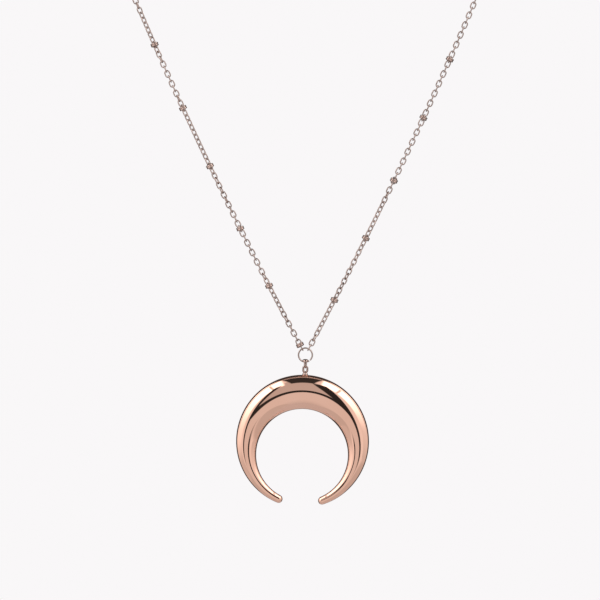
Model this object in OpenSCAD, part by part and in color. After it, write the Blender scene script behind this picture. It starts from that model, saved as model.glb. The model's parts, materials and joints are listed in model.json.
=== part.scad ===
// Pendant necklace: a hollow crescent on a station cable chain, closed by a lobster clasp with an extender.
// The frame's origin is on the nape of the neck, where the necklace is held.
// +Z is up, and the pendant faces -Y.

/* [Pendant] */
// Width of the crescent across its outer edge
pendant_w = 39.9; // [36:0.1:44]
// Width of the round space inside the crescent
pendant_bore_w = 27.5; // [26:0.1:29]
// How far the inner circle's centre lies below the outer one's
pendant_bore_drop = 4.1; // [3.5:0.1:4.5]
// Depth of the crescent from front to back at its top
pendant_depth = 6.4; // [5:0.1:8]
// Depth of the crescent from front to back at its tips
tip_depth = 2.4; // [2:0.1:3]
// Angle between the bottom of the crescent and the centre of each tip
tip_angle = 20.4; // [16:0.1:30]
// Wall of the two stamped shells
shell_wall = 0.6; // [0.4:0.05:0.8]
// How far the hanging crescent leans, clockwise as seen from the front
pendant_lean = 2.2; // [-5:0.1:5]

/* [Hanging rings] */
// Outer diameter of the jump ring that joins the two strands
jump_ring_d = 4.6; // [4.4:0.1:5]
// Wire of the jump ring
jump_ring_wire = 0.46; // [0.4:0.02:0.5]
// Angle of the jump ring's butt joint, anticlockwise from its right side
jump_ring_joint = -52; // [-60:1:-30]
// Wire of the bail link between the jump ring and the eyelet
bail_wire = 0.44; // [0.4:0.02:0.46]
// Outer height of the bail link
bail_h = 2.7; // [2.66:0.02:2.8]
// Outer width of the bail link
bail_w = 1.9; // [1.8:0.05:2.1]
// How far the bail link is turned about the vertical, from edge-on
bail_turn = 6; // [0:1:8]
// Wire of the pendant's own eyelet
eyelet_wire = 0.46; // [0.4:0.02:0.5]
// Outer height of the eyelet
eyelet_h = 2.4; // [2.3:0.05:2.6]
// Outer width of the eyelet
eyelet_w = 1.85; // [1.75:0.05:2]

/* [Chain] */
// Outer length of a chain link
link_l = 2.44; // [2.42:0.01:2.5]
// Outer width of a chain link
link_w = 1.75; // [1.7:0.01:1.78]
// Wire of a chain link
link_wire = 0.38; // [0.34:0.01:0.38]
// Number of links from the jump ring to the clasp on each side
links_a_side = 150; // [146:2:150]
// Mean number of link pitches between one station ring and the next
station_step = 12.5; // [12.5:0.5:14]
// Inner diameter of a station ring
station_bore = 1.9; // [1.88:0.01:2]
// Wall of a station ring at its two beads
station_wall = 0.26; // [0.2:0.02:0.28]
// Tilt of a station ring on its link
station_tilt = 5; // [0:1:5]

/* [Route round the neck] */
// Angle of each strand from the vertical at the jump ring
strand_angle = 28.2; // [26:0.1:30]
// Radius of each strand's slight curve
strand_r = 1300; // [1200:50:1500]
// Length of each strand in front of the neck
strand_len = 131.4; // [131:0.1:131.6]
// Radius over the shoulder
shoulder_r = 25; // [20:1:30]
// Rise of the neck loop towards the nape
neck_tilt = 36; // [30:1:42]

/* [Clasp] */
// Length of the lobster clasp's claw
clasp_l = 9.6; // [9:0.1:11]
// Thickness of the clasp
clasp_t = 2.2; // [2:0.1:2.6]
// Outer diameter of the two rings beside the clasp
end_ring_d = 4.0; // [3.8:0.1:4.2]
// Wire of those two rings
end_ring_wire = 0.5; // [0.4:0.02:0.5]

/* [Extender] */
// Outer length of an extender link
tail_link_l = 3.2; // [3.1:0.05:3.3]
// Outer width of an extender link
tail_link_w = 2.4; // [2.3:0.05:2.6]
// Wire of an extender link
tail_wire = 0.5; // [0.4:0.02:0.5]
// Number of links in each half of the extender
tail_half_links = 11; // [5:2:13]
// Diameter of the drop at its end
drop_d = 4; // [3:0.1:5]

/* [Hidden] */
$fn = 24;

// A hanging contact has this much play, so that no two rings share material
play = 0.06;

// The clasp lies flat on the nape in the XZ plane, its claw towards +X
clasp_nose_r = 2.5;
clasp_tail_r = 1.3;
clasp_tail_x = clasp_nose_r - clasp_l + clasp_tail_r;
tail_hole_r = 0.65;
// Its eye runs back from the nose's centre, a little narrower below than above
clasp_eye_x = 0;
clasp_eye_back = -2;
clasp_eye_r = 1.5;
eye_trim = 0.1;
// The lever turns on a pin behind the eye, in a slot through the middle of the claw
pivot_wall = 0.35;
pivot_z = -0.7;
clasp_pivot = [clasp_eye_back - clasp_eye_r - pivot_wall, pivot_z];
pin_d = 0.7;
slot_t = 1.3;
slot_r = 1.25;
slot_l = 2.2;
lever_t = 0.6;
hub_r = 0.85;
// The gate's end is an arc about the pivot, so that it passes the claw's nose as it opens
gate_past_nose = 0.3;
gate_past_pivot = 0.3;
gate_r = clasp_eye_x + gate_past_nose - clasp_pivot[0];
gate_start_x = clasp_pivot[0] + gate_past_pivot;
gate_top = -0.55;
gate_bottom = -clasp_nose_r - 1;
// The lever's arm joins its hub to the gate, and its thumb tab stands out below the claw
arm_l = 1.9;
arm_h = 1.2;
arm_bottom = -2.1;
thumb_r = 0.5;
thumb_z = -3.2;
thumb_top = -1.6;
// Room in the tail's hole and in the eye for the curve of the ring that passes through each
hole_room = 0.3;
eye_room = 0.55;
clasp_seat_x = clasp_eye_x + clasp_eye_r;
end_ring_r = (end_ring_d - end_ring_wire) / 2;
end_ring_seat = clasp_seat_x - eye_room - play - end_ring_wire / 2 + end_ring_r;
clasp_ring_seat = clasp_tail_x + tail_hole_r - hole_room - play - end_ring_wire / 2 - end_ring_r;
clasp_shift = (-clasp_ring_seat - end_ring_seat) / 2;
end_ring_x = end_ring_seat + clasp_shift;
clasp_ring_x = clasp_ring_seat + clasp_shift;
// The chain's last link on each side hangs on the outer side of its ring
last_link_x = end_ring_x + end_ring_r - end_ring_wire / 2 - play - link_wire + link_l / 2;

// Chain counts: each run is 12 or 13 links long, and bodies change at the ends of runs 3 and 6
run_count = 12;
run_ends = [for (run = [0 : run_count]) floor(run * links_a_side / run_count)];
lower_links = run_ends[3];
upper_links = run_ends[6];
station_first_left = 0;
station_first_right = 10;
// The lowest station ring slides down until the jump ring stops it, between the first two links
station_lowest = 0.5;
station_bead_r = 0.3;
station_bead_gap = 0.52;
station_last = links_a_side - 3;

// Route of the right strand, measured from the jump ring's centre; the left one is its mirror image
jump_ring_r = (jump_ring_d - jump_ring_wire) / 2;
first_link_s = jump_ring_r - jump_ring_wire / 2 - play + link_l / 2 - link_wire;
strand_turn = strand_len / strand_r * 180 / PI;
top_angle = strand_angle - strand_turn;
strand_top = strand_point(strand_len);
up_strand = [sin(top_angle), 0, cos(top_angle)];
up_neck = [0, cos(neck_tilt), sin(neck_tilt)];
shoulder_turn = acos(up_strand * up_neck);
shoulder_side = unit(up_neck - (up_strand * up_neck) * up_strand);
shoulder_axis = cross(up_strand, shoulder_side);
shoulder_len = shoulder_r * shoulder_turn * PI / 180;
shoulder_top = shoulder_point(shoulder_turn);
neck_axis = cross(up_neck, [-1, 0, 0]);
// The neck's quarter circle ends where the chain's last link hangs on the ring beside the clasp
neck_r = shoulder_top[0] - last_link_x;
route_len = strand_len + shoulder_len + neck_r * PI / 2;
link_pitch = (route_len - first_link_s) / (links_a_side - 1);
nape = neck_point(90);

function unit(v) = v / norm(v);
function strand_point(s) =
    let (a = strand_angle - s / strand_r * 180 / PI)
    [strand_r * (cos(a) - cos(strand_angle)), 0, strand_r * (sin(strand_angle) - sin(a))];
function shoulder_point(turn) =
    strand_top + shoulder_r * (sin(turn) * up_strand + (1 - cos(turn)) * shoulder_side);
function neck_point(turn) =
    shoulder_top + neck_r * (sin(turn) * up_neck + (1 - cos(turn)) * [-1, 0, 0]);
function turned(v, axis, turn) =
    cos(turn) * v + sin(turn) * cross(axis, v) + (1 - cos(turn)) * (axis * v) * axis;
function shoulder_turn_at(s) = min(max(s - strand_len, 0) / shoulder_len, 1) * shoulder_turn;
function neck_turn_at(s) = max(s - strand_len - shoulder_len, 0) / neck_r * 180 / PI;

// The route at a distance s from the jump ring: its point, its direction, and a direction square to it
function route_point(s) =
    s <= strand_len ? strand_point(s)
    : s <= strand_len + shoulder_len ? shoulder_point(shoulder_turn_at(s))
    : neck_point(neck_turn_at(s));
function route_along(s) =
    s <= strand_len
        ? let (a = strand_angle - s / strand_r * 180 / PI) [sin(a), 0, cos(a)]
        : turned(turned(up_strand, shoulder_axis, shoulder_turn_at(s)), neck_axis, neck_turn_at(s));
function route_side(s) =
    turned(turned([0, 1, 0], shoulder_axis, shoulder_turn_at(s)), neck_axis, neck_turn_at(s));

// How far the chain has twisted at each distance along a strand: it settles in turns as it hangs
end_side = route_side(route_len);
end_cross = cross(route_along(route_len), end_side);
end_turn = atan2(end_cross[1], end_side[1]);
twist_left = [
    [0, 0], [8, 0], [16, 45], [24, 45], [30, 90], [45, 90], [68, 135], [82, 135],
    [88, 180], [97, 180], [102, 225], [113, 225], [118, 270], [route_len, 540 + end_turn]
];
twist_right = [
    [0, 0], [4, 0], [8, 45], [18, 45], [23, 62], [32, 62], [38, 45], [50, 45],
    [56, 0], [118, 0], [route_len, end_turn]
];

function link_s(k) = first_link_s + k * link_pitch;

// Places its children at a distance s along a strand: local Z along the route, local X across the link
module on_route(side, s, turn) {
    along = route_along(s);
    ref = route_side(s);
    across = turned(ref, along, turn);
    depth = cross(along, across);
    p = route_point(s);
    mirror([side < 0 ? 1 : 0, 0, 0])
    multmatrix([
        [across[0], depth[0], along[0], p[0]],
        [across[1], depth[1], along[1], p[1]],
        [across[2], depth[2], along[2], p[2]]
    ])
    children();
}

// Moves the necklace so that the nape end of the loop is the origin
module from_nape() {
    translate([0, -nape[1], -nape[2]]) children();
}

// An oval wire loop: its length along Z, its width along X
module oval_link(length, width, wire) {
    r = (width - wire) / 2;
    half_straight = (length - width) / 2;
    for (end = [0, 1]) {
        mirror([0, 0, end])
        translate([0, 0, half_straight])
        rotate([90, 0, 0])
        rotate_extrude(angle = 180)
        translate([r, 0])
        circle(d = wire);
    }
    for (x = [-r, r]) {
        translate([x, 0, -half_straight])
        cylinder(d = wire, h = 2 * half_straight);
    }
}

// A round wire ring about the Z axis
module wire_ring(outer_d, wire) {
    rotate_extrude()
    translate([(outer_d - wire) / 2, 0])
    circle(d = wire);
}

module chain_run(side, run) {
    twist = side < 0 ? twist_left : twist_right;
    color("RosyBrown")
    from_nape()
    for (k = [run_ends[run - 1] : run_ends[run] - 1]) {
        on_route(side, link_s(k), 90 * k + lookup(link_s(k), twist))
        oval_link(link_l, link_w, link_wire);
    }
}

// A short tube with two rounded beads round it
module double_ring() {
    outer_d = station_bore + 2 * station_wall;
    difference() {
        for (side = [-1, 1]) {
            translate([0, 0, side * station_bead_gap / 2])
            wire_ring(outer_d, 2 * station_bead_r);
        }
        cylinder(d = station_bore, h = 4 * station_bead_r, center = true);
    }
}

module station_ring(side, k) {
    twist = side < 0 ? twist_left : twist_right;
    s = link_s(k);
    on_route(side, s, 90 * round(k) + lookup(s, twist))
    rotate([station_tilt, 0, 0])
    double_ring();
}

// Station rings whose place along each strand lies between two link counts
module stations(from, to) {
    color("DarkSalmon")
    from_nape()
    for (side = [-1, 1]) {
        first = side < 0 ? station_first_left : station_first_right;
        for (n = [0 : floor((station_last - first) / station_step)]) {
            k = max(first + ceil(station_step * n), station_lowest);
            if (k >= from && k < to) station_ring(side, k);
        }
    }
}

module jump_ring() {
    joint_gap = 6;
    color("RosyBrown")
    from_nape()
    rotate([90, 0, 0])
    rotate([0, 0, jump_ring_joint + joint_gap / 2])
    rotate_extrude(angle = 360 - joint_gap)
    translate([jump_ring_r, 0])
    circle(d = jump_ring_wire);
}

// Heights below the jump ring's centre: the bail link hangs on the ring, and the eyelet on the bail link
bail_z = -(jump_ring_r - jump_ring_wire / 2 - play) + bail_wire - bail_h / 2;
hang_z = bail_z - bail_h / 2 + bail_wire;
eyelet_top = hang_z + play + eyelet_wire;

module bail_link() {
    color("Peru")
    from_nape()
    translate([0, 0, bail_z])
    rotate([0, 0, 90 - bail_turn])
    oval_link(bail_h, bail_w, bail_wire);
}

// Places its children in the pendant's own frame: origin where it hangs, leaning with it
module on_pendant() {
    from_nape()
    translate([0, 0, hang_z])
    rotate([0, pendant_lean, 0])
    translate([0, 0, -hang_z])
    children();
}

collar_h = 0.7;
collar_d = 1.7;
eyelet_z = eyelet_top - eyelet_h / 2;
// The eyelet's foot sinks this far into the collar, in a socket with room for solder
eyelet_sink = 0.25;
socket_room = 0.02;
// Solder fills this gap under the collar, and the narrower one between the two shells
collar_gap = 0.03;
seam_gap = 0.02;
crescent_top = eyelet_top - eyelet_h - collar_h + eyelet_sink;
outer_r = pendant_w / 2;
inner_r = pendant_bore_w / 2;
crescent_z = crescent_top - outer_r;

module eyelet() {
    color("Peru")
    on_pendant()
    translate([0, 0, eyelet_z])
    oval_link(eyelet_h, eyelet_w, eyelet_wire);
}

// The collar is soldered into the crescent's top, and the eyelet's foot sinks into its socket
module eyelet_collar() {
    foot_z = eyelet_top - eyelet_h;
    color("Peru")
    on_pendant()
    difference() {
        translate([0, 0, crescent_top + collar_gap])
        cylinder(d = collar_d, h = collar_h);
        translate([0, 0, eyelet_z])
        oval_link(eyelet_h, eyelet_w, eyelet_wire + socket_room);
        translate([-collar_d, -collar_d, foot_z + eyelet_wire])
        cube(2 * collar_d);
    }
}

// Crescent section at a turn from its top: distance to its outer and inner edge from the outer centre
crescent_steps = 72;
section_steps = 9;
tip_turn = 180 - tip_angle;
function inner_edge(turn) =
    sqrt(pow(inner_r, 2) - pow(pendant_bore_drop * sin(turn), 2)) - pendant_bore_drop * cos(turn);
function half_width(turn) = (outer_r - inner_edge(turn)) / 2;
tip_half = half_width(tip_turn);
tip_mid = outer_r - tip_half;
top_half = half_width(0);
function half_depth(half) =
    tip_depth / 2 + (pendant_depth - tip_depth) / 2 * (half - tip_half) / (top_half - tip_half);
// Past the tip's centre the section shrinks as a ball does
tip_reach = asin(tip_half / tip_mid);
tip_steps = 6;
// The ball stops this many degrees round, so each tip ends in a tiny flat
tip_stop = 80;
turns = concat(
    [for (i = [tip_steps : -1 : 1]) -tip_turn - tip_reach * sin(tip_stop * i / tip_steps)],
    [for (i = [0 : crescent_steps]) -tip_turn + 2 * tip_turn * i / crescent_steps],
    [for (i = [1 : tip_steps]) tip_turn + tip_reach * sin(tip_stop * i / tip_steps)]
);
function ball_scale(turn) =
    let (past = max(abs(turn) - tip_turn, 0) / tip_reach) sqrt(1 - past * past);
function wide_at(turn) = ball_scale(turn) * half_width(min(abs(turn), tip_turn));
function deep_at(turn) = ball_scale(turn) * half_depth(half_width(min(abs(turn), tip_turn)));
// The hollow fades out before the tips, which are solid
hollow_end = 0.8 * tip_turn;
hollow_fade = 0.2 * tip_turn;
most_wall = 0.45;
function hollow(turn) = min(max((hollow_end - abs(turn)) / hollow_fade, 0), 1);
function section(turn, face) =
    let (
        w = wide_at(turn),
        d = deep_at(turn),
        c = hollow(turn),
        mid = outer_r - half_width(min(abs(turn), tip_turn)),
        wall = min(shell_wall, most_wall * w)
    )
    concat(
        [for (j = [0 : section_steps]) let (a = 180 * j / section_steps)
            [mid + w * cos(a), face * d * sin(a)]],
        [for (j = [section_steps : -1 : 0]) let (a = 180 * j / section_steps)
            [mid + (w - wall) * cos(a), face * max(d - wall, 0) * c * sin(a)]]
    );
function shell_points(face) = [
    for (turn = turns)
    for (q = section(turn, face))
    [q[0] * sin(turn), q[1], q[0] * cos(turn)]
];
ring_points = 2 * (section_steps + 1);
last_ring = len(turns) - 1;
// The flat on a tip, as pairs of triangles between its outer and inner rows of points
function tip_faces(first) = [
    for (j = [0 : section_steps - 1])
    let (
        outer = first + j,
        inner = first + ring_points - 1 - j,
        split = 2 * j < section_steps
    )
    each [
        [outer, outer + 1, split ? inner : inner - 1],
        [split ? outer + 1 : outer, inner - 1, inner]
    ]
];
function reversed(faces) = [for (f = faces) [f[2], f[1], f[0]]];
function shell_faces() = concat(
    tip_faces(0),
    reversed(tip_faces(last_ring * ring_points)),
    [for (i = [0 : last_ring - 1]) for (j = [0 : ring_points - 1])
        let (a = i * ring_points + j, b = i * ring_points + (j + 1) % ring_points)
        [b, a, a + ring_points]],
    [for (i = [0 : last_ring - 1]) for (j = [0 : ring_points - 1])
        let (a = i * ring_points + j, b = i * ring_points + (j + 1) % ring_points)
        [b, a + ring_points, b + ring_points]]
);

module crescent_shell(face) {
    on_pendant()
    translate([0, 0, crescent_z])
    mirror([0, face > 0 ? 1 : 0, 0])
    polyhedron(points = shell_points(-1), faces = shell_faces(), convexity = 6);
}

module pendant_front_shell() {
    color("Tan") crescent_shell(-1);
}

module pendant_back_shell() {
    color("Tan") translate([0, seam_gap, 0]) crescent_shell(1);
}

function clasp_outline() =
    let (gap = clasp_eye_x - clasp_tail_x, a = acos((clasp_nose_r - clasp_tail_r) / gap))
    [
        [clasp_eye_x + clasp_nose_r * cos(180 - a), clasp_nose_r * sin(180 - a)],
        [clasp_tail_x + clasp_tail_r * cos(180 - a), clasp_tail_r * sin(180 - a)],
        [clasp_tail_x + clasp_tail_r * cos(180 - a), -clasp_tail_r * sin(180 - a)],
        [clasp_eye_x + clasp_nose_r * cos(180 - a), -clasp_nose_r * sin(180 - a)]
    ];

module claw_2d() {
    translate([clasp_eye_x, 0]) circle(r = clasp_nose_r);
    translate([clasp_tail_x, 0]) circle(r = clasp_tail_r);
    polygon(clasp_outline());
}

module eye_2d() {
    translate([clasp_eye_x, 0]) circle(r = clasp_eye_r);
    translate([clasp_eye_back, eye_trim]) circle(r = clasp_eye_r - eye_trim);
    translate([clasp_eye_back, 2 * eye_trim - clasp_eye_r])
    square([clasp_eye_x - clasp_eye_back, 2 * (clasp_eye_r - eye_trim)]);
}

// The strip below the eye, which the lever fills, out to a radius about the pivot
module gate_2d(from, r) {
    intersection() {
        translate([from, gate_bottom])
        square([clasp_nose_r - from, gate_top - gate_bottom]);
        translate(clasp_pivot) circle(r = r);
    }
}

// Draws one of the clasp's outlines flat on the nape
module flat_on_nape(thickness) {
    translate([clasp_shift, 0, 0])
    rotate([90, 0, 0])
    translate([0, 0, -thickness / 2])
    linear_extrude(thickness)
    children();
}

module clasp_body() {
    color("RosyBrown")
    difference() {
        flat_on_nape(clasp_t) {
            difference() {
                claw_2d();
                eye_2d();
                gate_2d(clasp_eye_back, gate_r);
                translate([clasp_tail_x, 0]) circle(r = tail_hole_r);
            }
        }
        flat_on_nape(slot_t) {
            translate(clasp_pivot) circle(r = slot_r);
            translate([clasp_pivot[0], gate_bottom]) square([slot_l, -gate_bottom]);
        }
        flat_on_nape(2 * clasp_t) {
            translate(clasp_pivot) circle(d = pin_d);
        }
    }
}

module clasp_lever() {
    color("RosyBrown")
    flat_on_nape(lever_t)
    difference() {
        union() {
            translate(clasp_pivot) circle(r = hub_r);
            intersection() {
                difference() {
                    claw_2d();
                    eye_2d();
                }
                gate_2d(gate_start_x, gate_r - play);
            }
            translate([clasp_pivot[0] + thumb_r, thumb_z]) circle(r = thumb_r);
            translate([clasp_pivot[0], thumb_z]) square([2 * thumb_r, thumb_top - thumb_z]);
            translate([clasp_pivot[0], arm_bottom]) square([arm_l, arm_h]);
        }
        translate(clasp_pivot) circle(d = pin_d + play);
    }
}

module clasp_pin() {
    color("Silver")
    flat_on_nape(clasp_t)
    translate(clasp_pivot) circle(d = pin_d);
}

// A fine coil round the pin, beside the lever, that closes the gate
coil_wire = 0.16;
coil_gap = 0.03;
coil_r = pin_d / 2 + play + coil_wire / 2;
coil_turns = 1;
coil_steps = 18;
coil_sides = 6;
function coil_points() = [
    for (i = [0 : coil_turns * coil_steps])
    let (a = 360 * i / coil_steps, rise = (coil_wire + coil_gap) * i / coil_steps)
    for (j = [0 : coil_sides - 1])
    let (b = 360 * j / coil_sides, r = coil_r + coil_wire / 2 * cos(b))
    [r * cos(a), r * sin(a), rise + coil_wire / 2 * sin(b)]
];
function coil_faces() = let (last = coil_turns * coil_steps) concat(
    [[for (j = [0 : coil_sides - 1]) j]],
    [[for (j = [coil_sides - 1 : -1 : 0]) last * coil_sides + j]],
    [for (i = [0 : last - 1]) for (j = [0 : coil_sides - 1])
        let (a = i * coil_sides + j, b = i * coil_sides + (j + 1) % coil_sides)
        [b, a, a + coil_sides]],
    [for (i = [0 : last - 1]) for (j = [0 : coil_sides - 1])
        let (a = i * coil_sides + j, b = i * coil_sides + (j + 1) % coil_sides)
        [b, a + coil_sides, b + coil_sides]]
);

module clasp_spring() {
    color("Silver")
    translate([clasp_shift, 0, 0])
    rotate([90, 0, 0])
    translate([clasp_pivot[0], clasp_pivot[1], lever_t / 2 + coil_gap + coil_wire / 2])
    polyhedron(points = coil_points(), faces = coil_faces(), convexity = 4);
}

module clasp_ring() {
    color("RosyBrown")
    translate([clasp_ring_x, 0, 0])
    wire_ring(end_ring_d, end_ring_wire);
}

module end_ring() {
    color("RosyBrown")
    translate([end_ring_x, 0, 0])
    wire_ring(end_ring_d, end_ring_wire);
}

// The extender hangs from the end ring, this far round it, clear of the clasp's nose and of the last link
tail_turn = 40;
tail_pitch = tail_link_l - 2 * tail_wire - play;
tail_top = end_ring_wire / 2 + play + tail_wire - tail_link_l / 2;
tail_x = end_ring_x + end_ring_r * sin(tail_turn);
tail_y = end_ring_r * cos(tail_turn);
function tail_z(k) = tail_top - k * tail_pitch;

module extender(from, to) {
    color("RosyBrown")
    for (k = [from : to - 1]) {
        translate([tail_x, tail_y, tail_z(k)])
        rotate([0, 0, 90 * (k + 1) - tail_turn])
        oval_link(tail_link_l, tail_link_w, tail_wire);
    }
}

drop_ring_d = 3;
drop_ring_wire = 0.45;
drop_ring_z = tail_z(2 * tail_half_links - 1) - tail_link_l / 2 + tail_wire + play
    - (drop_ring_d / 2 - drop_ring_wire);
drop_eye_d = 1.9;
drop_eye_wire = 0.4;
drop_eye_z = drop_ring_z - drop_ring_d / 2 + drop_ring_wire + play - drop_eye_d / 2 + drop_eye_wire;

// Turned a quarter from the link above, so the ring passes through it
module drop_ring() {
    color("RosyBrown")
    translate([tail_x, tail_y, drop_ring_z])
    rotate([0, 0, 90 * (2 * tail_half_links + 1) - tail_turn])
    rotate([90, 0, 0])
    wire_ring(drop_ring_d, drop_ring_wire);
}

module drop() {
    color("DarkSalmon")
    translate([tail_x, tail_y, drop_eye_z]) {
        rotate([0, 0, 90 * (2 * tail_half_links + 2) - tail_turn])
        rotate([90, 0, 0])
        wire_ring(drop_eye_d, drop_eye_wire);
        translate([0, 0, -drop_eye_d / 2 + drop_eye_wire / 2 - drop_d / 2])
        sphere(d = drop_d);
    }
}

pendant_front_shell();
pendant_back_shell();
eyelet_collar();
eyelet();
bail_link();
jump_ring();
for (run = [1 : run_count]) {
    chain_run(-1, run);
    chain_run(1, run);
}
stations(0, lower_links);  // stations_lower
stations(lower_links, upper_links);  // stations_upper
stations(upper_links, links_a_side);  // stations_neck
clasp_ring();
clasp_body();
clasp_lever();
clasp_pin();
clasp_spring();
end_ring();
extender(0, tail_half_links);  // extender_upper
extender(tail_half_links, 2 * tail_half_links);  // extender_lower
drop_ring();
drop();
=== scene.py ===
"""Looks for the pendant necklace: polished rose gold crescent, station cable chain, clasp and extender."""

import json
import math

import bmesh
import bpy
import numpy as np
from mathutils import Matrix, Vector


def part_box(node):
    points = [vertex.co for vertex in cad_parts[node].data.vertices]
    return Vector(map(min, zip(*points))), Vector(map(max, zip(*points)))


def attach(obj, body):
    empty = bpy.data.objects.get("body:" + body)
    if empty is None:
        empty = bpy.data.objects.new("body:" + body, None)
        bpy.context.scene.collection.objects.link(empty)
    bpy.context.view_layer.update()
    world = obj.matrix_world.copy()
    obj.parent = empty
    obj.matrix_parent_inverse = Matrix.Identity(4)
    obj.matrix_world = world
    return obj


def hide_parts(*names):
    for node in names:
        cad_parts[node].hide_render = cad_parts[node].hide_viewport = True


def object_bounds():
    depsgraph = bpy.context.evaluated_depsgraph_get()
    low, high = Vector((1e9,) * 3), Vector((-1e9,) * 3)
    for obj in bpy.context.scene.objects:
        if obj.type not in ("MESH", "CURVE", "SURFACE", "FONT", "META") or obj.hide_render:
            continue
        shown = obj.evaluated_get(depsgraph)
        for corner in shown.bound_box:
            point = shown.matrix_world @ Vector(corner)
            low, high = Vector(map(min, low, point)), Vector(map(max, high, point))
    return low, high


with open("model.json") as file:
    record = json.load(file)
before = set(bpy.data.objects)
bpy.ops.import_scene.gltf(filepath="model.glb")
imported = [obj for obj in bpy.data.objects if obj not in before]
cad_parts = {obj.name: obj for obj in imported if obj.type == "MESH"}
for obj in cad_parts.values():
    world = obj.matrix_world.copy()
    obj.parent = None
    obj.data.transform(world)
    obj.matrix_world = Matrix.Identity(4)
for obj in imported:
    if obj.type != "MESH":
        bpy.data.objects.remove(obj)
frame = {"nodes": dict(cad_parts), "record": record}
CAD_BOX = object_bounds()
MM = 0.001


# ---------------------------------------------------------------- measurements, in metres

# Chain links and station rings, as the CAD model has them. A station ring is two beads side by side
LINK_LENGTH = 2.44 * MM
LINK_WIDTH = 1.75 * MM
LINK_WIRE = 0.38 * MM
RUNS_PER_SIDE = 12
STATION_BORE_R = 0.95 * MM
STATION_OUTER_R = 1.21 * MM
BEAD_R = 0.30 * MM
BEAD_SPACING = 0.52 * MM
BEAD_RING_R = STATION_OUTER_R - BEAD_R

# Rings at the clasp, extender links, and the small ring that holds the drop
CLASP_RING_OUTER = 4.0 * MM
CLASP_RING_WIRE = 0.5 * MM
TAIL_LENGTH = 3.2 * MM
TAIL_WIDTH = 2.4 * MM
TAIL_WIRE = 0.5 * MM
DROP_RING_OUTER = 3.0 * MM
DROP_RING_WIRE = 0.45 * MM

# The jump ring, with its butt joint at the lower right
JUMP_RING_OUTER = 4.6 * MM
JUMP_RING_WIRE = 0.46 * MM
JUMP_RING_GAP = math.radians(7)
JUMP_RING_JOINT = math.radians(-52)

# The bail strap and the eyelet. Each section is (radius in the loop's plane, radius across it)
BAIL_LENGTH = 2.7 * MM
BAIL_WIDTH = 1.9 * MM
BAIL_WIRE = 0.44 * MM
BAIL_THICKER = 0.12 * MM
BAIL_TOP = (0.28 * MM, 0.86 * MM)
BAIL_BOTTOM = (0.20 * MM, 0.23 * MM)
EYELET_LENGTH = 2.4 * MM
EYELET_WIDTH = 1.85 * MM
EYELET_TOP = (0.23 * MM, 0.23 * MM)
EYELET_BOTTOM = (0.33 * MM, 0.34 * MM)

# The collar's (radius, height) points in millimetres, from its rounded top to its foot inside the crescent
COLLAR_PROFILE = [
    (0.0, 0.62),
    (0.52, 0.62),
    (0.62, 0.55),
    (0.64, 0.44),
    (0.72, 0.36),
    (0.80, 0.22),
    (0.85, 0.10),
    (0.85, -0.3),
    (0.0, -0.3),
]

# The crescent: two circles, the inner one lower, and half the depth of its section at the top and the tips
OUTER_R = 19.95 * MM
INNER_R = 13.75 * MM
INNER_DROP = 4.1 * MM
TOP_DEPTH = 3.2 * MM
TIP_DEPTH = 1.2 * MM
SHELL_WALL = 0.6 * MM
SHELL_SEAM = 0.02 * MM
TIP_TURN = math.radians(180 - 20.4)
LEAN = math.radians(2.2)

# Each arm's hollow narrows over the taper and ends here, so that the tips are solid
HOLLOW_END = 0.8 * TIP_TURN
HOLLOW_TAPER = 0.2 * TIP_TURN

# The wall is at most this share of half the crescent's width
MOST_WALL = 0.45


def centre_of(node):
    low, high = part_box(node)
    return (Vector(low) + Vector(high)) / 2


# The crescent hangs in the bail's foot. The eyelet's top rises above that, and the collar shows below it
EYELET_RISE = 0.52 * MM
COLLAR_SHOWN = 0.45 * MM
COLLAR_LIFT = 0.05 * MM
RING_CENTRE = centre_of("jump_ring")
BAIL_FOOT = Vector(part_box("bail_link")[0]).z
HANG = Vector((0, RING_CENTRE.y, BAIL_FOOT + BAIL_WIRE))
CRESCENT_TOP = HANG.z + EYELET_RISE - EYELET_LENGTH - COLLAR_SHOWN
CRESCENT_CENTRE = Vector((0, RING_CENTRE.y, CRESCENT_TOP - OUTER_R))
LEANING = Matrix.Translation(HANG) @ Matrix.Rotation(LEAN, 4, "Y") @ Matrix.Translation(-HANG)


# ---------------------------------------------------------------- materials

# Most of a noise texture's values lie between these two
NOISE_LOW = 0.3
NOISE_HIGH = 0.7


class NodeTree:
    """A node tree, with one short call for each node and link."""

    def __init__(self, tree):
        self.tree = tree

    def add(self, kind, values=None, **settings):
        node = self.tree.nodes.new(kind)
        for key, value in settings.items():
            setattr(node, key, value)
        for key, value in (values or {}).items():
            node.inputs[key].default_value = value
        return node

    def link(self, source, target):
        self.tree.links.new(source, target)


class Finish(NodeTree):
    """A new material's node tree and its shader."""

    def __init__(self, name):
        self.material = bpy.data.materials.new(name)
        self.material.use_nodes = True
        super().__init__(self.material.node_tree)
        self.shader = self.tree.nodes["Principled BSDF"]

    def noise(self, place, **values):
        node = self.add("ShaderNodeTexNoise", values)
        self.link(place, node.inputs["Vector"])
        return node.outputs["Fac"]

    def tones(self, noise, low, high):
        """A colour that follows a noise value between two tones."""
        node = self.add("ShaderNodeValToRGB")
        for stop, place, tone in zip(node.color_ramp.elements, (NOISE_LOW, NOISE_HIGH), (low, high)):
            stop.position = place
            stop.color = (*tone, 1)
        self.link(noise, node.inputs["Fac"])
        return node.outputs["Color"]

    def scaled(self, noise, low, high):
        """A number that follows a noise value from low to high."""
        ends = {"From Min": NOISE_LOW, "From Max": NOISE_HIGH, "To Min": low, "To Max": high}
        node = self.add("ShaderNodeMapRange", ends)
        self.link(noise, node.inputs["Value"])
        return node.outputs["Result"]


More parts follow.
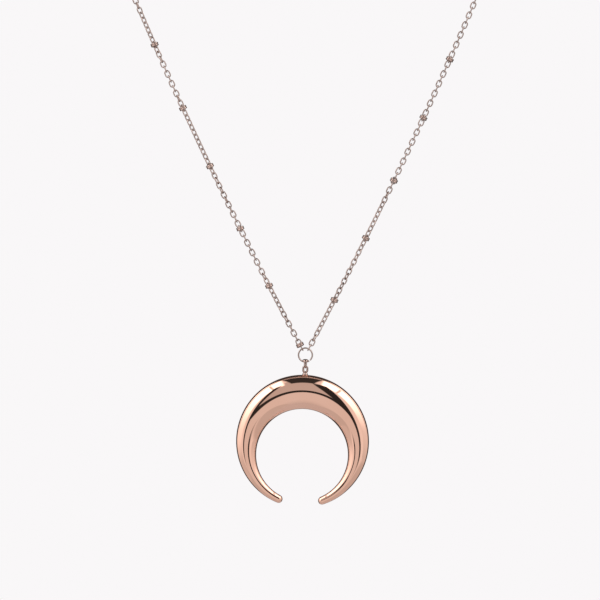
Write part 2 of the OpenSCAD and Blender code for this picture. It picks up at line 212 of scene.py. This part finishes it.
def plated_metal(name, light, deep, roughness, scratch, grain):
    """Polished plate: colour drifts between two tones, with hairline polishing marks along one direction."""
    finish = Finish(name)
    shader = finish.shader
    place = finish.add("ShaderNodeTexCoord").outputs["Object"]
    drift = finish.noise(place, Scale=90.0, Detail=3.0)
    finish.link(finish.tones(drift, deep, light), shader.inputs["Base Color"])

    stretch = finish.add("ShaderNodeMapping", {"Scale": (1.0, 1.0, 14.0), "Rotation": (0.4, 0.2, 0.9)})
    finish.link(place, stretch.inputs["Vector"])
    marks = finish.noise(stretch.outputs["Vector"], Scale=grain, Detail=4.0, Roughness=0.7)
    spread = finish.scaled(marks, low=roughness * 0.7, high=roughness * 1.4)
    finish.link(spread, shader.inputs["Roughness"])

    bump = finish.add("ShaderNodeBump", {"Strength": scratch, "Distance": 0.00001})
    finish.link(marks, bump.inputs["Height"])
    finish.link(bump.outputs["Normal"], shader.inputs["Normal"])
    shader.inputs["Metallic"].default_value = 1.0
    return finish.material


def pale_paper():
    """The floor's paper, which glows a little, as paper does between two softboxes."""
    finish = Finish("pale_floor")
    shader = finish.shader
    place = finish.add("ShaderNodeTexCoord").outputs["Object"]
    cloud = finish.noise(place, Scale=3.0, Detail=2.0)
    glow = finish.tones(cloud, (0.94, 0.925, 0.93), (0.96, 0.945, 0.95))
    finish.link(glow, shader.inputs["Emission Color"])
    shader.inputs["Emission Strength"].default_value = 0.56
    shader.inputs["Base Color"].default_value = (0.10, 0.10, 0.10, 1)
    shader.inputs["Roughness"].default_value = 0.8
    return finish.material


POLISHED = plated_metal(
    "polished_rose_gold",
    light=(0.88, 0.545, 0.430),
    deep=(0.86, 0.515, 0.400),
    roughness=0.03,
    scratch=0.02,
    grain=900.0,
)
WIRE = plated_metal(
    "rose_gold_wire",
    light=(0.57, 0.45, 0.415),
    deep=(0.39, 0.30, 0.275),
    roughness=0.16,
    scratch=0.08,
    grain=2500.0,
)
STATION = plated_metal(
    "rose_gold_station",
    light=(0.54, 0.40, 0.36),
    deep=(0.37, 0.27, 0.24),
    roughness=0.12,
    scratch=0.05,
    grain=2000.0,
)
CAST = plated_metal(
    "rose_gold_casting",
    light=(0.84, 0.60, 0.50),
    deep=(0.76, 0.52, 0.43),
    roughness=0.14,
    scratch=0.10,
    grain=1500.0,
)
STEEL = plated_metal(
    "spring_steel",
    light=(0.72, 0.72, 0.73),
    deep=(0.60, 0.60, 0.61),
    roughness=0.22,
    scratch=0.10,
    grain=2500.0,
)


# ---------------------------------------------------------------- meshes

def mesh_object(name, points, faces, material):
    """A smooth-shaded piece with all its faces turned outwards."""
    mesh = bpy.data.meshes.new(name)
    mesh.from_pydata([tuple(p) for p in points], [], faces)
    mesh.validate()
    piece = bpy.data.objects.new(name, mesh)
    bpy.context.collection.objects.link(piece)
    mesh.materials.append(material)
    mesh.polygons.foreach_set("use_smooth", [True] * len(mesh.polygons))
    bm = bmesh.new()
    bm.from_mesh(mesh)
    bmesh.ops.recalc_face_normals(bm, faces=bm.faces)
    bm.to_mesh(mesh)
    bm.free()
    return piece


def skin(rows, sides, closed):
    """Faces between neighbouring rows of points, each row a loop. closed joins the last row to the first."""
    faces = []
    for row in range(rows if closed else rows - 1):
        here = row * sides
        there = (row + 1) % rows * sides
        for j in range(sides):
            k = (j + 1) % sides
            faces.append((here + j, here + k, there + k, there + j))
    return faces


def end_faces(rows, sides):
    """One flat face on the first row of points, and one on the last."""
    last = (rows - 1) * sides
    return [tuple(range(sides)), tuple(range(last, last + sides))]


def sweep(path, sections, sides, closed):
    """A wire along a path in the XZ plane. Each section is (radius in that plane, radius across it)."""
    count = len(path)
    across = Vector((0, 1, 0))
    points = []
    for i, middle in enumerate(path):
        before = path[i - 1] if closed or i else path[0]
        after = path[(i + 1) % count] if closed or i < count - 1 else path[-1]
        out = (after - before).normalized().cross(across).normalized()
        flat, thick = sections[i]
        for j in range(sides):
            a = 2 * math.pi * j / sides
            points.append(middle + flat * math.cos(a) * out + thick * math.sin(a) * across)
    faces = skin(count, sides, closed)
    if not closed:
        faces += end_faces(count, sides)
    return points, faces


def oval_path(length, width, wire, arc_steps):
    """Centre line of an oval link, its length along Z, starting at the middle of its right side."""
    r = (width - wire) / 2
    half = (length - width) / 2
    path = []
    for end in (1, -1):
        for i in range(arc_steps + 1):
            a = math.pi * i / arc_steps
            path.append(Vector((end * r * math.cos(a), 0, end * (half + r * math.sin(a)))))
    return path


def oval_wire(length, width, wire, arc_steps, sides):
    """An oval link with a slight swelling where its joint was soldered, at the middle of one long side."""
    swelling = 1.06
    r = wire / 2
    middle = Vector((width / 2 - r, 0, 0))
    beside = Vector((0, 0, r))
    path = [middle, middle + beside] + oval_path(length, width, wire, arc_steps) + [middle - beside]
    sections = [(r * swelling, r * swelling)] + [(r, r)] * (len(path) - 1)
    return sweep(path, sections, sides, closed=True)


def ring_wire(outer, wire, steps, sides, gap=0.0):
    """A round ring, or an open one with a butt joint centred on +X when gap is given."""
    r = (outer - wire) / 2
    closed = gap == 0
    count = steps if closed else steps + 1
    turns = [gap / 2 + (2 * math.pi - gap) * i / steps for i in range(count)]
    path = [Vector((r * math.cos(a), 0, r * math.sin(a))) for a in turns]
    sections = [(wire / 2, wire / 2)] * count
    if not closed:
        # each end is pinched a little, as the cutters leave it
        pinched = 0.43 * wire
        sections = [(pinched, pinched)] + sections[2:] + [(pinched, pinched)]
    return sweep(path, sections, sides, closed)


def graded_loop(length, width, top, bottom, steps=56, sides=20):
    """A closed oval loop whose section changes from bottom to top, most quickly near the top."""
    half = (length - width) / 2
    r = width / 2
    nearly_zero = 1e-6
    path = []
    sections = []
    for i in range(steps):
        a = 2 * math.pi * i / steps
        up = (0.5 + 0.5 * math.sin(a)) ** 2
        flat, thick = (bottom[k] + (top[k] - bottom[k]) * up for k in (0, 1))
        end = half if math.sin(a) > 0 else -half
        # the two points halfway up are the middles of the straight sides
        if abs(math.sin(a)) < nearly_zero:
            end = 0
        path.append(Vector(((r - flat) * math.cos(a), 0, end + (r - flat) * math.sin(a))))
        sections.append((flat, thick))
    return sweep(path, sections, sides, closed=True)


def double_ring(steps=48, arc_steps=8, edge=0.03 * MM):
    """A station ring: two round beads side by side round one bore, spun about Y."""
    at_bore = math.asin((STATION_BORE_R - BEAD_RING_R) / BEAD_R)
    at_valley = math.pi - math.acos(BEAD_SPACING / 2 / BEAD_R)
    arc = [at_bore + (at_valley - at_bore) * i / arc_steps for i in range(arc_steps + 1)]
    bead = [(BEAD_RING_R + BEAD_R * math.sin(a), BEAD_SPACING / 2 + BEAD_R * math.cos(a)) for a in arc]
    bore_end = (STATION_BORE_R, bead[0][1] - edge)
    half = [bore_end] + bead
    profile = [(r, -y) for r, y in half] + [(r, y) for r, y in reversed(half[:-1])]
    points = []
    for i in range(steps):
        a = 2 * math.pi * i / steps
        points += [Vector((r * math.cos(a), y, r * math.sin(a))) for r, y in profile]
    return points, skin(steps, len(profile), closed=True)


def turned_profile(name, profile, material, place, steps=48):
    """A turned piece: the profile's (radius, height) points in millimetres, spun about Z."""
    # a point on the axis keeps this radius, so that no face there has zero area
    smallest = 0.002
    points = []
    for r, z in profile:
        radius = max(r, smallest) * MM
        for i in range(steps):
            a = 2 * math.pi * i / steps
            points.append(place @ Vector((radius * math.cos(a), radius * math.sin(a), z * MM)))
    faces = skin(len(profile), steps, closed=False) + end_faces(len(profile), steps)
    return mesh_object(name, points, faces, material)


# ---------------------------------------------------------------- copies on the CAD's solids

def triangles_of(node):
    """A CAD node's points, and its triangles as rows of three point numbers."""
    mesh = frame["nodes"][node].data
    points = np.empty(len(mesh.vertices) * 3)
    mesh.vertices.foreach_get("co", points)
    mesh.calc_loop_triangles()
    triangles = np.empty(len(mesh.loop_triangles) * 3, dtype=np.int64)
    mesh.loop_triangles.foreach_get("vertices", triangles)
    return points.reshape(-1, 3), triangles.reshape(-1, 3)


def solid_numbers(points, triangles):
    """A number for each triangle, the same for all the triangles of one separate solid."""
    # points within about a tenth of a micron count as one
    _, same = np.unique(np.round(points, 7), axis=0, return_inverse=True)
    same = same.ravel()
    root = np.arange(same.max() + 1)

    def find(a):
        while root[a] != a:
            root[a] = root[root[a]]
            a = root[a]
        return a

    for corners in same[triangles]:
        first = find(corners[0])
        for other in corners[1:]:
            root[find(other)] = first
    return np.array([find(a) for a in same[triangles[:, 0]]])


def solids_of(node):
    """Each separate solid of a CAD node: its centre, and its axes from the longest spread to the shortest."""
    points, triangles = triangles_of(node)
    numbers = solid_numbers(points, triangles)
    found = []
    for number in np.unique(numbers):
        corners = points[triangles[numbers == number]]
        one_edge = corners[:, 1] - corners[:, 0]
        other_edge = corners[:, 2] - corners[:, 0]
        area = np.linalg.norm(np.cross(one_edge, other_edge), axis=1)
        middles = corners.mean(axis=1)
        centre = (middles * area[:, None]).sum(axis=0) / area.sum()
        away = middles - centre
        spread = (away * area[:, None]).T @ away / area.sum()
        _, axes = np.linalg.eigh(spread)
        found.append((Vector(centre), [Vector(axes[:, k]) for k in (2, 1, 0)]))
    return found


def body_of(node):
    for body, members in frame["record"]["behaviour"]["bodies"].items():
        if node in members:
            return body
    raise KeyError(node)


def stand_for(piece, node):
    """A piece replaces a CAD node and rides with that node's body."""
    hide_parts(node)
    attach(piece, body_of(node))


def placed(shape, node, material, name):
    """Copies of one shape on every solid of a CAD node, as one piece that stands for the node."""
    points, faces = [], []
    for centre, (z, x, _) in solids_of(node):
        if z.z < 0:
            z = -z
        y = z.cross(x)
        turn = Matrix((x, y, z)).transposed()
        start = len(points)
        points += [centre + turn @ p for p in shape[0]]
        faces += [tuple(start + v for v in f) for f in shape[1]]
    piece = mesh_object(name, points, faces, material)
    stand_for(piece, node)
    return piece


def cast_copy(node, name, material, voxel, smoothing):
    """A CAD solid with its edges softened as casting and tumbling leave them."""
    piece = bpy.data.objects.new(name, frame["nodes"][node].data.copy())
    bpy.context.collection.objects.link(piece)
    remesh = piece.modifiers.new("remesh", "REMESH")
    remesh.mode = "VOXEL"
    remesh.voxel_size = voxel
    soften = piece.modifiers.new("soften", "SMOOTH")
    soften.iterations = smoothing
    bpy.context.view_layer.update()
    solid = bpy.data.meshes.new_from_object(piece.evaluated_get(bpy.context.evaluated_depsgraph_get()))
    piece.modifiers.clear()
    piece.data = solid
    solid.name = name
    solid.materials.clear()
    solid.materials.append(material)
    solid.polygons.foreach_set("use_smooth", [True] * len(solid.polygons))
    stand_for(piece, node)


# ---------------------------------------------------------------- the crescent

def inner_edge(turn):
    """Distance from the outer circle's centre to the inner circle, at an angle from the top."""
    return math.sqrt(INNER_R ** 2 - (INNER_DROP * math.sin(turn)) ** 2) - INNER_DROP * math.cos(turn)


def half_width(turn):
    return (OUTER_R - inner_edge(min(abs(turn), TIP_TURN))) / 2


TIP_HALF = half_width(TIP_TURN)
TOP_HALF = half_width(0)
TIP_REACH = math.asin(TIP_HALF / (OUTER_R - TIP_HALF))


def half_depth(half):
    return TIP_DEPTH + (TOP_DEPTH - TIP_DEPTH) * (half - TIP_HALF) / (TOP_HALF - TIP_HALF)


def shell_turns(steps=180, tip_steps=14):
    """The sections' places, as angles from the top, from one rounded tip to the other."""
    # the last section stops short of the tip's very end, where it would be a point
    last = math.radians(86)
    past_tip = [TIP_REACH * math.sin(last * i / tip_steps) for i in range(1, tip_steps + 1)]
    left_tip = [-TIP_TURN - past for past in reversed(past_tip)]
    arms = [-TIP_TURN + 2 * TIP_TURN * i / steps for i in range(steps + 1)]
    right_tip = [TIP_TURN + past for past in past_tip]
    return left_tip + arms + right_tip


def shell_section(turn, face, angles):
    """One section's (distance from the centre, depth) points: along the outside, back along the inside."""
    past = max(abs(turn) - TIP_TURN, 0) / TIP_REACH
    ball = math.sqrt(1 - past * past)
    wide = half_width(turn) * ball
    deep = half_depth(half_width(turn)) * ball
    middle = OUTER_R - half_width(turn)
    wall = min(SHELL_WALL, MOST_WALL * wide)
    taper = min(max((HOLLOW_END - abs(turn)) / HOLLOW_TAPER, 0), 1)
    hollow = max(deep - wall, 0) * taper
    outside = [(middle + wide * math.cos(a), face * deep * math.sin(a)) for a in angles]
    inside = [(middle + (wide - wall) * math.cos(a), face * hollow * math.sin(a)) for a in reversed(angles)]
    return outside + inside


def shell_end(first, section):
    """Faces that close one end of a shell, between its outside points and its inside points."""
    last = first + 2 * section + 1
    faces = []
    for j in range(section):
        outer = first + j
        inner = last - j
        if 2 * j < section:
            faces += [(outer, outer + 1, inner), (outer + 1, inner - 1, inner)]
        else:
            faces += [(outer, outer + 1, inner - 1), (outer, inner - 1, inner)]
    return faces


def crescent_shell(name, face, section=40):
    """One hollow half of the crescent, open at the seam plane. face is -1 for the front, 1 for the back."""
    angles = [math.pi * j / section for j in range(section + 1)]
    sides = 2 * len(angles)
    turns = shell_turns()
    points = []
    for turn in turns:
        row = shell_section(turn, face, angles)
        places = [Vector((reach * math.sin(turn), y, reach * math.cos(turn))) for reach, y in row]
        points += [LEANING @ (CRESCENT_CENTRE + p) for p in places]
    faces = skin(len(turns), sides, closed=False)
    for first in (0, (len(turns) - 1) * sides):
        faces += shell_end(first, section)
    return mesh_object(name, points, faces, POLISHED)


def crescent():
    front = crescent_shell("crescent_front_shell", -1)
    stand_for(front, "pendant_front_shell")

    # the back shell stands off the front one by the width of the soldered seam
    back = crescent_shell("crescent_back_shell", 1)
    back.data.transform(Matrix.Translation((0, SHELL_SEAM, 0)))
    stand_for(back, "pendant_back_shell")


# ---------------------------------------------------------------- rings at the pendant

def jump_ring():
    points, faces = ring_wire(JUMP_RING_OUTER, JUMP_RING_WIRE, steps=96, sides=18, gap=JUMP_RING_GAP)
    turn = Matrix.Rotation(-JUMP_RING_JOINT, 4, "Y")
    piece = mesh_object("jump_ring_wire", [turn @ p + RING_CENTRE for p in points], faces, WIRE)
    stand_for(piece, "jump_ring")


def bail_strap():
    """A strap, widest where it wraps over the jump ring, and narrow where the eyelet hangs."""
    points, faces = graded_loop(BAIL_LENGTH + BAIL_THICKER, BAIL_WIDTH, BAIL_TOP, BAIL_BOTTOM)
    raised = [p + Vector((0, 0, BAIL_THICKER / 2)) for p in points]
    placed((raised, faces), "bail_link", STATION, "bail_strap")


def eyelet():
    loop = graded_loop(EYELET_LENGTH, EYELET_WIDTH, EYELET_TOP, EYELET_BOTTOM)
    placed(loop, "eyelet", STATION, "eyelet_wire")


def collar():
    """The soldered foot of the eyelet, on the crescent's top and leaning with it."""
    place = LEANING @ Matrix.Translation((0, RING_CENTRE.y, CRESCENT_TOP + COLLAR_LIFT))
    piece = turned_profile("eyelet_foot", COLLAR_PROFILE, STATION, place)
    stand_for(piece, "eyelet_collar")


# ---------------------------------------------------------------- chain, clasp and extender

def chain():
    link = oval_wire(LINK_LENGTH, LINK_WIDTH, LINK_WIRE, arc_steps=10, sides=12)
    for side in ("left", "right"):
        for run in range(1, RUNS_PER_SIDE + 1):
            placed(link, f"chain_{side}_{run}", WIRE, f"links_{side}_{run}")


def stations():
    ring = double_ring()
    for place in ("lower", "upper", "neck"):
        piece = placed(ring, f"stations_{place}", STATION, f"station_rings_{place}")


def clasp():
    cast_copy("clasp_body", "clasp_casting", CAST, voxel=0.06 * MM, smoothing=12)
    cast_copy("clasp_lever", "clasp_gate", CAST, voxel=0.045 * MM, smoothing=8)
    ring = ring_wire(CLASP_RING_OUTER, CLASP_RING_WIRE, steps=72, sides=16)
    for node in ("clasp_ring", "end_ring"):
        placed(ring, node, WIRE, f"{node}_wire")
    for node in ("clasp_pin", "clasp_spring"):
        materials = frame["nodes"][node].data.materials
        materials.clear()
        materials.append(STEEL)


def extender():
    link = oval_wire(TAIL_LENGTH, TAIL_WIDTH, TAIL_WIRE, arc_steps=12, sides=14)
    for node in ("extender_upper", "extender_lower"):
        placed(link, node, WIRE, f"{node}_links")
    ring = ring_wire(DROP_RING_OUTER, DROP_RING_WIRE, steps=56, sides=14)
    placed(ring, "drop_ring", WIRE, "drop_ring_wire")
    cast_copy("drop", "drop_bead", POLISHED, voxel=0.06 * MM, smoothing=2)


# ---------------------------------------------------------------- studio

# Degrees away from the camera at which the softboxes begin
BOX_START = 43


class Tent(NodeTree):
    """The light tent that the metal reflects. Cards are laid over it in turn, each of one brightness.

    A direction is given in degrees. polar is how far it points away from the camera. turn goes clockwise
    from straight up, as the camera sees it. tilt is its height above the horizon. side is its angle round
    the upright axis, from towards the camera to the camera's right.
    """

    def __init__(self, world):
        world.use_nodes = True
        super().__init__(world.node_tree)
        self.tree.nodes.clear()
        parts = self.add("ShaderNodeSeparateXYZ")
        self.link(self.add("ShaderNodeTexCoord").outputs["Generated"], parts.inputs[0])
        x, y, z = parts.outputs
        to_camera = self.product(y, -1.0)
        self.polar = self.degrees(self.calculate("ARCCOSINE", to_camera))
        self.turn = self.degrees(self.calculate("ARCTAN2", x, z))
        self.tilt = self.degrees(self.calculate("ARCSINE", z))
        self.side = self.degrees(self.calculate("ARCTAN2", x, to_camera))

    def calculate(self, operation, *inputs):
        node = self.add("ShaderNodeMath", operation=operation)
        for k, value in enumerate(inputs):
            if isinstance(value, (int, float)):
                node.inputs[k].default_value = value
            else:
                self.link(value, node.inputs[k])
        return node.outputs[0]

    def product(self, a, b):
        return self.calculate("MULTIPLY", a, b)

    def difference(self, a, b):
        return self.calculate("SUBTRACT", a, b)

    def degrees(self, angle):
        return self.product(angle, 180 / math.pi)

    def line(self, value, slope, start):
        """start + slope x value"""
        return self.calculate("MULTIPLY_ADD", value, slope, start)

    def step(self, value, low, high):
        """0 at low, 1 at high, smooth between and level beyond. high may be the smaller of the two."""
        node = self.add("ShaderNodeMapRange", interpolation_type="SMOOTHSTEP")
        self.link(value, node.inputs["Value"])
        node.inputs["From Min"].default_value = low
        node.inputs["From Max"].default_value = high
        return node.outputs["Result"]

    def band(self, value, low, high, soft):
        """1 between low and high, 0 outside, fading over soft on both sides of each edge."""
        rise = self.step(value, low - soft, low + soft)
        fall = self.step(value, high - soft, high + soft)
        return self.difference(rise, fall)

    def cover(self, mask, brightness):
        """Lays a card over the tent, where its mask is 1."""
        hidden = self.product(self.level, self.difference(1.0, mask))
        self.level = self.calculate("ADD", hidden, self.product(mask, brightness))


def tent_walls(tent):
    """The front, dimmer above its top seam, a dimmer ground, and side walls, dimmer near the ground."""
    tent.level = tent.line(tent.step(tent.tilt, low=5, high=9), slope=-0.20, start=0.80)
    tent.cover(tent.step(tent.tilt, low=-30, high=-62), brightness=0.66)
    walls = tent.difference(1.0, tent.band(tent.side, low=-25, high=15, soft=2))
    tent.cover(tent.product(walls, tent.step(tent.tilt, low=-24, high=-14)), brightness=0.98)
    tent.cover(tent.product(walls, tent.step(tent.tilt, low=-14, high=-24)), brightness=0.64)


def softbox(tent, low, high, outward, seam_at, lower_brightness):
    """A softbox overhead, brightest near the top, with a seam. outward is -1 at the left, 1 at the right."""
    around = tent.band(tent.turn, low, high, soft=2)
    box = tent.product(around, tent.band(tent.polar, BOX_START, high=106, soft=3))
    tent.cover(box, brightness=0.72)
    lower = tent.product(box, tent.step(tent.turn, low=outward * 116, high=outward * 84))
    tent.cover(lower, lower_brightness)
    upper = tent.product(box, tent.step(tent.turn, low=outward * 88, high=outward * 44))
    tent.cover(upper, brightness=2.6)
    seam = tent.band(tent.turn, seam_at - 1.2, seam_at + 1.2, soft=0.6)
    tent.cover(tent.product(seam, tent.band(tent.polar, BOX_START, high=84, soft=3)), brightness=0.9)


def dark_gap(tent):
    """The gap between the softboxes, above the camera, wider towards the top."""
    reach = tent.line(tent.polar, slope=0.165, start=5.0)
    across = tent.band(tent.calculate("DIVIDE", tent.turn, reach), low=-1, high=1, soft=0.08)
    tent.cover(tent.product(across, tent.band(tent.polar, BOX_START, high=88, soft=2)), brightness=0.04)


def panel_seams(tent):
    """Dark seams round the front panel: one at each side, and one along its top that slants at the left."""
    for at, half_wide in ((-25, 4.4), (15.5, 5.8)):
        across = tent.band(tent.side, at - half_wide, at + half_wide, soft=0.8)
        upright = tent.band(tent.tilt, low=-14, high=42, soft=4)
        tent.cover(tent.product(across, upright), brightness=0.04)
    slant = tent.product(tent.calculate("MINIMUM", tent.side, 0.0), 0.2)
    top = tent.band(tent.calculate("ADD", tent.tilt, slant), low=-1.8, high=6.4, soft=0.7)
    tent.cover(tent.product(top, tent.band(tent.side, low=-27, high=14, soft=1)), brightness=0.03)


def dark_figure(tent):
    """An upright dark shape behind the panel's right edge, leaning to the right."""
    left_edge = tent.line(tent.tilt, slope=0.15, start=7.5)
    right_edge = tent.line(tent.tilt, slope=0.1, start=21.5)
    past_left = tent.step(tent.difference(tent.side, left_edge), low=-0.8, high=0.8)
    past_right = tent.step(tent.difference(tent.side, right_edge), low=-0.8, high=0.8)
    across = tent.difference(past_left, past_right)
    tent.cover(tent.product(across, tent.band(tent.tilt, low=0.5, high=42, soft=1)), brightness=0.03)


def rim_and_back(tent):
    """What the rims reflect: a fine dark line above, a dark crown, shade behind, and a glow far back."""
    line = tent.band(tent.polar, low=91, high=98, soft=1.5)
    tent.cover(tent.product(line, tent.band(tent.turn, low=-80, high=80, soft=10)), brightness=0.2)
    crown = tent.band(tent.turn, low=-28, high=28, soft=9)
    tent.cover(tent.product(crown, tent.step(tent.polar, low=93, high=96)), brightness=0.16)
    tent.cover(tent.step(tent.polar, low=103, high=111), brightness=0.03)
    tent.cover(tent.step(tent.polar, low=135, high=172), brightness=0.62)


def world_light():
    """A pale backdrop for the camera, and the light tent for everything else."""
    world = bpy.data.worlds.new("studio")
    bpy.context.scene.world = world
    tent = Tent(world)
    tent_walls(tent)
    softbox(tent, low=-130, high=-20, outward=-1, seam_at=-32, lower_brightness=1.25)
    softbox(tent, low=20, high=112, outward=1, seam_at=38, lower_brightness=0.92)
    dark_gap(tent)
    panel_seams(tent)
    dark_figure(tent)
    rim_and_back(tent)

    # a colour mix has its two colours at inputs 6 and 7, and its result at output 2
    warm = tent.add("ShaderNodeMix", data_type="RGBA", blend_type="MULTIPLY")
    warm.inputs["Factor"].default_value = 1.0
    tent.link(tent.level, warm.inputs[6])
    warm.inputs[7].default_value = (1.0, 0.985, 0.96, 1)
    lit = tent.add("ShaderNodeBackground")
    tent.link(warm.outputs[2], lit.inputs["Color"])
    pale = tent.add("ShaderNodeBackground", {"Color": (0.947, 0.930, 0.938, 1)})

    choose = tent.add("ShaderNodeMixShader")
    tent.link(tent.add("ShaderNodeLightPath").outputs["Is Camera Ray"], choose.inputs[0])
    tent.link(lit.outputs[0], choose.inputs[1])
    tent.link(pale.outputs[0], choose.inputs[2])
    out = tent.add("ShaderNodeOutputWorld")
    tent.link(choose.outputs[0], out.inputs["Surface"])


def floor():
    """A pale disc well below the necklace, which hangs as it does on a neck."""
    below = 0.3
    bpy.ops.mesh.primitive_circle_add(vertices=128, radius=0.3, fill_type="NGON")
    disc = bpy.context.object
    disc.name = "studio_floor"
    disc.location = (0, 0, CAD_BOX[0].z - below)
    disc.data.materials.append(pale_paper())


def camera():
    """A long lens square to the pendant's chain, level, a little above the jump ring."""
    distance = 1.5
    view_width = 0.18
    left = 1.62 * MM
    above = 16.5 * MM
    eye = bpy.data.cameras.new("camera")
    eye.sensor_width = 36.0
    eye.lens = eye.sensor_width * distance / view_width
    eye.clip_start = 0.01
    eye.clip_end = 20
    mount = bpy.data.objects.new("camera", eye)
    bpy.context.collection.objects.link(mount)
    mount.location = RING_CENTRE + Vector((-left, -distance, above))
    mount.rotation_euler = (math.pi / 2, 0, 0)
    bpy.context.scene.camera = mount


camera()
crescent()
jump_ring()
bail_strap()
eyelet()
collar()
chain()
stations()
clasp()
extender()
floor()
world_light()
view = bpy.context.scene.view_settings
view.view_transform = "Standard"
view.look = "None"
